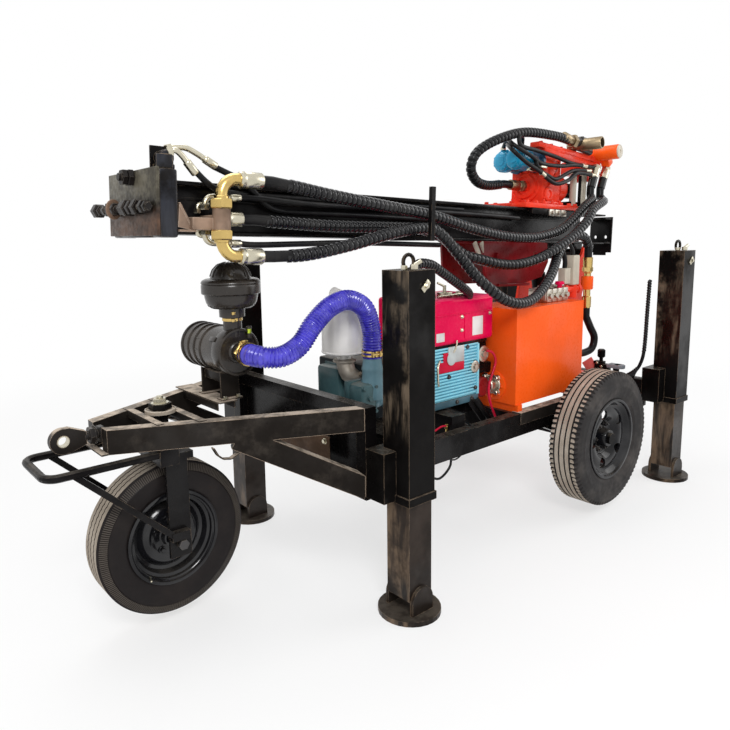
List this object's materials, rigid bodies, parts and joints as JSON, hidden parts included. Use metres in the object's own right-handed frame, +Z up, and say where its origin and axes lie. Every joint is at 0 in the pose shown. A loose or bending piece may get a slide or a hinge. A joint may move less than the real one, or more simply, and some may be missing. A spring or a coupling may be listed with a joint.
{
  "type": "trailer water well drilling rig",
  "caption": "Towed water well drilling rig: mast laid flat over a trailer frame with rotary head, diesel engine, oil tank and corner jack legs",
  "frame": {"origin": "floor under the middle of the whole rig's box, feet on the floor", "axes": "+X to the drawbar end, +Y to the side of the oil tank, +Z up"},
  "size_m": [3.9801, 1.5766, 2.2306],
  "materials": {
    "black_paint": "worn gloss black enamel, rubbed to bare metal on edges",
    "grey_steel": "bare greyish square tube with dust",
    "red_paint": "gloss red enamel",
    "orange_paint": "gloss orange-red enamel",
    "magenta_paint": "gloss magenta enamel",
    "cyan_paint": "satin light blue enamel",
    "blue_paint": "gloss blue enamel",
    "silver": "silver paint and bare castings",
    "bare_steel": "dark paint rubbed to brown steel",
    "tyre_rubber": "dusty rubber",
    "rim_black": "satin black enamel",
    "hose_rubber": "black hydraulic hose",
    "purple_hose": "ribbed blue-violet intake hose",
    "chrome": "ground and chromed rod"
  },
  "bodies": {
    "chassis": {"chassis_rail_left": "black_paint", "chassis_rail_right": "black_paint", "front_bulkhead": "black_paint", "rear_crossbeam": "black_paint", "engine_bearer_front": "black_paint", "engine_bearer_rear": "black_paint", "leg_tube_front_left": "black_paint", "leg_tube_front_right": "black_paint", "leg_tube_rear_left": "black_paint", "leg_tube_rear_right": "black_paint", "drawbar_left": "black_paint", "drawbar_right": "black_paint", "tow_lug": "black_paint", "turntable_plate": "black_paint", "cleaner_plate": "black_paint", "rear_axle": "black_paint", "engine_block": "cyan_paint", "engine_fin_cover": "cyan_paint", "fuel_tank": "magenta_paint", "muffler": "silver", "intake_elbow": "cyan_paint", "air_cleaner": "black_paint", "pre_cleaner": "rim_black", "oil_tank": "orange_paint", "tank_crossmember": "black_paint", "control_valve": "silver", "mast_stand": "red_paint", "intake_hose": "purple_hose", "hose_return": "hose_rubber", "return_valve": "silver"},
    "jack_front_left": {"jack_leg_front_left": "grey_steel"},
    "jack_front_right": {"jack_leg_front_right": "grey_steel"},
    "jack_rear_left": {"jack_leg_rear_left": "grey_steel"},
    "jack_rear_right": {"jack_leg_rear_right": "grey_steel"},
    "fork": {"front_fork": "black_paint", "tow_handle": "black_paint"},
    "front_wheel": {"front_wheel_tyre": "tyre_rubber", "front_wheel_rim": "rim_black"},
    "rear_wheel_left": {"rear_wheel_left_tyre": "tyre_rubber", "rear_wheel_left_rim": "rim_black"},
    "rear_wheel_right": {"rear_wheel_right_tyre": "tyre_rubber", "rear_wheel_right_rim": "rim_black"},
    "mast": {"mast_beam": "black_paint", "mast_crown": "black_paint", "mast_foot": "black_paint", "mast_manifold": "bare_steel", "hose_rack": "black_paint", "hose_mud_upper": "hose_rubber", "hose_mud_lower": "hose_rubber", "hose_feed": "hose_rubber"},
    "head": {"head_carriage": "red_paint", "head_gearbox": "red_paint", "head_motors": "blue_paint", "head_block": "red_paint", "hose_swivel": "hose_rubber"},
    "lift_barrel": {"lift_barrel": "black_paint"},
    "lift_rod": {"lift_rod": "chrome"}
  },
  "joints": [
    {"name": "jack_slide_front_left", "type": "slide", "parent": "chassis", "child": "jack_front_left", "axis": [0, 0, -1], "range_m": [-0.3, 0.35]},
    {"name": "jack_slide_front_right", "type": "slide", "parent": "chassis", "child": "jack_front_right", "axis": [0, 0, -1], "range_m": [-0.3, 0.35]},
    {"name": "jack_slide_rear_left", "type": "slide", "parent": "chassis", "child": "jack_rear_left", "axis": [0, 0, -1], "range_m": [-0.3, 0.35]},
    {"name": "jack_slide_rear_right", "type": "slide", "parent": "chassis", "child": "jack_rear_right", "axis": [0, 0, -1], "range_m": [-0.3, 0.35]},
    {"name": "front_steer", "type": "hinge", "parent": "chassis", "child": "fork", "pos_m": [1.46505, 0, 0.379], "axis": [0, 0, 1], "range_deg": [-35, 35]},
    {"name": "front_wheel_spin", "type": "hinge", "parent": "fork", "child": "front_wheel", "pos_m": [1.46505, 0, 0.379], "axis": [0, 1, 0], "continuous": true},
    {"name": "rear_wheel_left_spin", "type": "hinge", "parent": "chassis", "child": "rear_wheel_left", "pos_m": [-0.93345, 0.62, 0.4375], "axis": [0, 1, 0], "continuous": true},
    {"name": "rear_wheel_right_spin", "type": "hinge", "parent": "chassis", "child": "rear_wheel_right", "pos_m": [-0.93345, -0.62, 0.4375], "axis": [0, 1, 0], "continuous": true},
    {"name": "mast_raise", "type": "hinge", "parent": "chassis", "child": "mast", "pos_m": [-1.49095, 0, 1.472], "axis": [0, -1, 0], "range_deg": [0, 87.85]},
    {"name": "head_slide", "type": "slide", "parent": "mast", "child": "head", "axis": [0.9993, 0, 0.0375], "range_m": [0, 1.85]},
    {"name": "lift_swing", "type": "hinge", "parent": "chassis", "child": "lift_barrel", "pos_m": [-1.29095, 0, 0.85], "axis": [0, -1, 0], "range_deg": [0, 19.4]},
    {"name": "lift_extend", "type": "slide", "parent": "lift_barrel", "child": "lift_rod", "axis": [0.1618, 0, 0.9868], "range_m": [0, 0.355]}
  ],
  "couplings": [
    {"joint": "lift_swing", "follows": "mast_raise", "ratio": 0.22},
    {"joint": "lift_extend", "follows": "mast_raise", "m_per_rad": 0.23}
  ]
}
